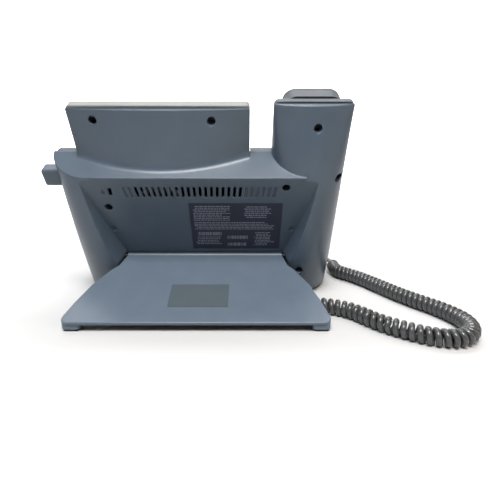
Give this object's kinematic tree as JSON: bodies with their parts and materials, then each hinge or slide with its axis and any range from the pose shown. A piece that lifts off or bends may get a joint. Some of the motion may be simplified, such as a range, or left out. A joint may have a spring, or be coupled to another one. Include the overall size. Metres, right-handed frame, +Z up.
{
  "type": "desk ip phone",
  "caption": "Desk IP phone leaning on its fold-out rear stand, with a handset on a curly cord, tilted display housing, dial pad, function keys and rear network sockets.",
  "frame": {"origin": "on the desk under the middle of the phone's bounding box, cord left out", "axes": "+Z up, +Y towards the rear stand, -Y towards the user, +X to the user's right; the handset is on the -X side"},
  "size_m": [0.3212, 0.1886, 0.167],
  "materials": {
    "housing": "satin moulded plastic",
    "cover": "satin moulded plastic",
    "silver": "satin silver paint on plastic",
    "lens": "clear gloss",
    "screen": "display module",
    "circuit_board": "solder mask",
    "silicone": "silicone",
    "speaker_metal": "pressed metal",
    "socket_plastic": "moulded plastic",
    "label": "printed film",
    "steel": "dark plated steel",
    "rubber_feet": "rubber",
    "stand": "satin moulded plastic",
    "badge": "satin inlay",
    "handset_dark": "satin moulded plastic",
    "handset_shell": "satin moulded plastic",
    "clear_plug": "clear moulded plastic",
    "cord": "coiled cord jacket",
    "key_dark": "moulded key",
    "key_light": "moulded key"
  },
  "bodies": {
    "base": {"base_feet": "rubber_feet", "base_plug": "clear_plug", "cord_coil": "cord", "cord_handset_tail": "cord", "cord_jack_tail": "cord", "display_bezel": "silver", "display_lens": "lens", "front_cover": "cover", "handset_jack": "socket_plastic", "housing_screws": "steel", "id_label": "label", "key_mat": "silicone", "lcd_module": "screen", "loudspeaker": "speaker_metal", "main_board": "circuit_board", "network_jacks": "socket_plastic", "power_jack": "socket_plastic", "rear_housing": "housing", "side_pod": "housing"},
    "stand": {"stand_plate": "stand", "stand_feet": "rubber_feet", "stand_badge": "badge", "stand_hinge_pins": "steel"},
    "handset": {"handset_back_shell": "handset_dark", "handset_front_shell": "handset_shell", "receiver_capsule": "speaker_metal", "microphone_capsule": "speaker_metal", "handset_weight": "steel", "handset_plug": "clear_plug"},
    "hook": {"hook_switch": "key_dark"},
    "rocker": {"volume_rocker": "key_dark"},
    "dial_key_01_body": {"dial_key_01": "key_light"},
    "dial_key_02_body": {"dial_key_02": "key_light"},
    "dial_key_03_body": {"dial_key_03": "key_light"},
    "dial_key_04_body": {"dial_key_04": "key_light"},
    "dial_key_05_body": {"dial_key_05": "key_light"},
    "dial_key_06_body": {"dial_key_06": "key_light"},
    "dial_key_07_body": {"dial_key_07": "key_light"},
    "dial_key_08_body": {"dial_key_08": "key_light"},
    "dial_key_09_body": {"dial_key_09": "key_light"},
    "dial_key_10_body": {"dial_key_10": "key_light"},
    "dial_key_11_body": {"dial_key_11": "key_light"},
    "dial_key_12_body": {"dial_key_12": "key_light"},
    "soft_key_1_body": {"soft_key_1": "key_dark"},
    "soft_key_2_body": {"soft_key_2": "key_dark"},
    "soft_key_3_body": {"soft_key_3": "key_dark"},
    "soft_key_4_body": {"soft_key_4": "key_dark"},
    "line_key_1_body": {"line_key_1": "key_dark"},
    "line_key_2_body": {"line_key_2": "key_dark"},
    "line_key_3_body": {"line_key_3": "key_dark"},
    "line_key_4_body": {"line_key_4": "key_dark"},
    "hold_key_body": {"hold_key": "key_dark"},
    "transfer_key_body": {"transfer_key": "key_dark"},
    "conference_key_body": {"conference_key": "key_dark"},
    "headset_key_body": {"headset_key": "key_dark"},
    "mute_key_body": {"mute_key": "key_dark"},
    "speaker_key_body": {"speaker_key": "key_dark"},
    "nav_ring_body": {"nav_ring": "silver"},
    "select_key_body": {"select_key": "key_dark"}
  },
  "joints": [
    {"name": "stand_fold", "type": "hinge", "parent": "base", "child": "stand", "pos_m": [-0.0063, -0.0043, 0.03345], "axis": [1, 0, 0], "range_deg": [0, 56]},
    {"name": "handset_lift", "type": "slide", "parent": "base", "child": "handset", "axis": [0, -0.8746, 0.4848], "range_m": [0, 0.08]},
    {"name": "hook_press", "type": "slide", "parent": "base", "child": "hook", "axis": [0, 0.8746, -0.4848], "range_m": [0, 0.003], "stiffness_N_per_m": 80},
    {"name": "volume_rock", "type": "hinge", "parent": "base", "child": "rocker", "pos_m": [0.111, 0.00208, 0.1056], "axis": [1, 0, 0], "range_deg": [-4, 4], "stiffness_Nm_per_rad": 0.08},
    {"name": "dial_key_01_press", "type": "slide", "parent": "base", "child": "dial_key_01_body", "axis": [0, 0.8746, -0.4848], "range_m": [0, 0.0015], "stiffness_N_per_m": 600},
    {"name": "dial_key_02_press", "type": "slide", "parent": "base", "child": "dial_key_02_body", "axis": [0, 0.8746, -0.4848], "range_m": [0, 0.0015], "stiffness_N_per_m": 600},
    {"name": "dial_key_03_press", "type": "slide", "parent": "base", "child": "dial_key_03_body", "axis": [0, 0.8746, -0.4848], "range_m": [0, 0.0015], "stiffness_N_per_m": 600},
    {"name": "dial_key_04_press", "type": "slide", "parent": "base", "child": "dial_key_04_body", "axis": [0, 0.8746, -0.4848], "range_m": [0, 0.0015], "stiffness_N_per_m": 600},
    {"name": "dial_key_05_press", "type": "slide", "parent": "base", "child": "dial_key_05_body", "axis": [0, 0.8746, -0.4848], "range_m": [0, 0.0015], "stiffness_N_per_m": 600},
    {"name": "dial_key_06_press", "type": "slide", "parent": "base", "child": "dial_key_06_body", "axis": [0, 0.8746, -0.4848], "range_m": [0, 0.0015], "stiffness_N_per_m": 600},
    {"name": "dial_key_07_press", "type": "slide", "parent": "base", "child": "dial_key_07_body", "axis": [0, 0.8746, -0.4848], "range_m": [0, 0.0015], "stiffness_N_per_m": 600},
    {"name": "dial_key_08_press", "type": "slide", "parent": "base", "child": "dial_key_08_body", "axis": [0, 0.8746, -0.4848], "range_m": [0, 0.0015], "stiffness_N_per_m": 600},
    {"name": "dial_key_09_press", "type": "slide", "parent": "base", "child": "dial_key_09_body", "axis": [0, 0.8746, -0.4848], "range_m": [0, 0.0015], "stiffness_N_per_m": 600},
    {"name": "dial_key_10_press", "type": "slide", "parent": "base", "child": "dial_key_10_body", "axis": [0, 0.8746, -0.4848], "range_m": [0, 0.0015], "stiffness_N_per_m": 600},
    {"name": "dial_key_11_press", "type": "slide", "parent": "base", "child": "dial_key_11_body", "axis": [0, 0.8746, -0.4848], "range_m": [0, 0.0015], "stiffness_N_per_m": 600},
    {"name": "dial_key_12_press", "type": "slide", "parent": "base", "child": "dial_key_12_body", "axis": [0, 0.8746, -0.4848], "range_m": [0, 0.0015], "stiffness_N_per_m": 600},
    {"name": "soft_key_1_press", "type": "slide", "parent": "base", "child": "soft_key_1_body", "axis": [0, 0.8746, -0.4848], "range_m": [0, 0.0015], "stiffness_N_per_m": 600},
    {"name": "soft_key_2_press", "type": "slide", "parent": "base", "child": "soft_key_2_body", "axis": [0, 0.8746, -0.4848], "range_m": [0, 0.0015], "stiffness_N_per_m": 600},
    {"name": "soft_key_3_press", "type": "slide", "parent": "base", "child": "soft_key_3_body", "axis": [0, 0.8746, -0.4848], "range_m": [0, 0.0015], "stiffness_N_per_m": 600},
    {"name": "soft_key_4_press", "type": "slide", "parent": "base", "child": "soft_key_4_body", "axis": [0, 0.8746, -0.4848], "range_m": [0, 0.0015], "stiffness_N_per_m": 600},
    {"name": "line_key_1_press", "type": "slide", "parent": "base", "child": "line_key_1_body", "axis": [0, 0.8746, -0.4848], "range_m": [0, 0.0015], "stiffness_N_per_m": 600},
    {"name": "line_key_2_press", "type": "slide", "parent": "base", "child": "line_key_2_body", "axis": [0, 0.8746, -0.4848], "range_m": [0, 0.0015], "stiffness_N_per_m": 600},
    {"name": "line_key_3_press", "type": "slide", "parent": "base", "child": "line_key_3_body", "axis": [0, 0.8746, -0.4848], "range_m": [0, 0.0015], "stiffness_N_per_m": 600},
    {"name": "line_key_4_press", "type": "slide", "parent": "base", "child": "line_key_4_body", "axis": [0, 0.8746, -0.4848], "range_m": [0, 0.0015], "stiffness_N_per_m": 600},
    {"name": "hold_key_press", "type": "slide", "parent": "base", "child": "hold_key_body", "axis": [0, 0.8746, -0.4848], "range_m": [0, 0.0015], "stiffness_N_per_m": 600},
    {"name": "transfer_key_press", "type": "slide", "parent": "base", "child": "transfer_key_body", "axis": [0, 0.8746, -0.4848], "range_m": [0, 0.0015], "stiffness_N_per_m": 600},
    {"name": "conference_key_press", "type": "slide", "parent": "base", "child": "conference_key_body", "axis": [0, 0.8746, -0.4848], "range_m": [0, 0.0015], "stiffness_N_per_m": 600},
    {"name": "headset_key_press", "type": "slide", "parent": "base", "child": "headset_key_body", "axis": [0, 0.8746, -0.4848], "range_m": [0, 0.0015], "stiffness_N_per_m": 600},
    {"name": "mute_key_press", "type": "slide", "parent": "base", "child": "mute_key_body", "axis": [0, 0.8746, -0.4848], "range_m": [0, 0.0015], "stiffness_N_per_m": 600},
    {"name": "speaker_key_press", "type": "slide", "parent": "base", "child": "speaker_key_body", "axis": [0, 0.8746, -0.4848], "range_m": [0, 0.0015], "stiffness_N_per_m": 600},
    {"name": "nav_ring_press", "type": "slide", "parent": "base", "child": "nav_ring_body", "axis": [0, 0.8746, -0.4848], "range_m": [0, 0.0015], "stiffness_N_per_m": 600},
    {"name": "select_key_press", "type": "slide", "parent": "base", "child": "select_key_body", "axis": [0, 0.8746, -0.4848], "range_m": [0, 0.0015], "stiffness_N_per_m": 600}
  ]
}
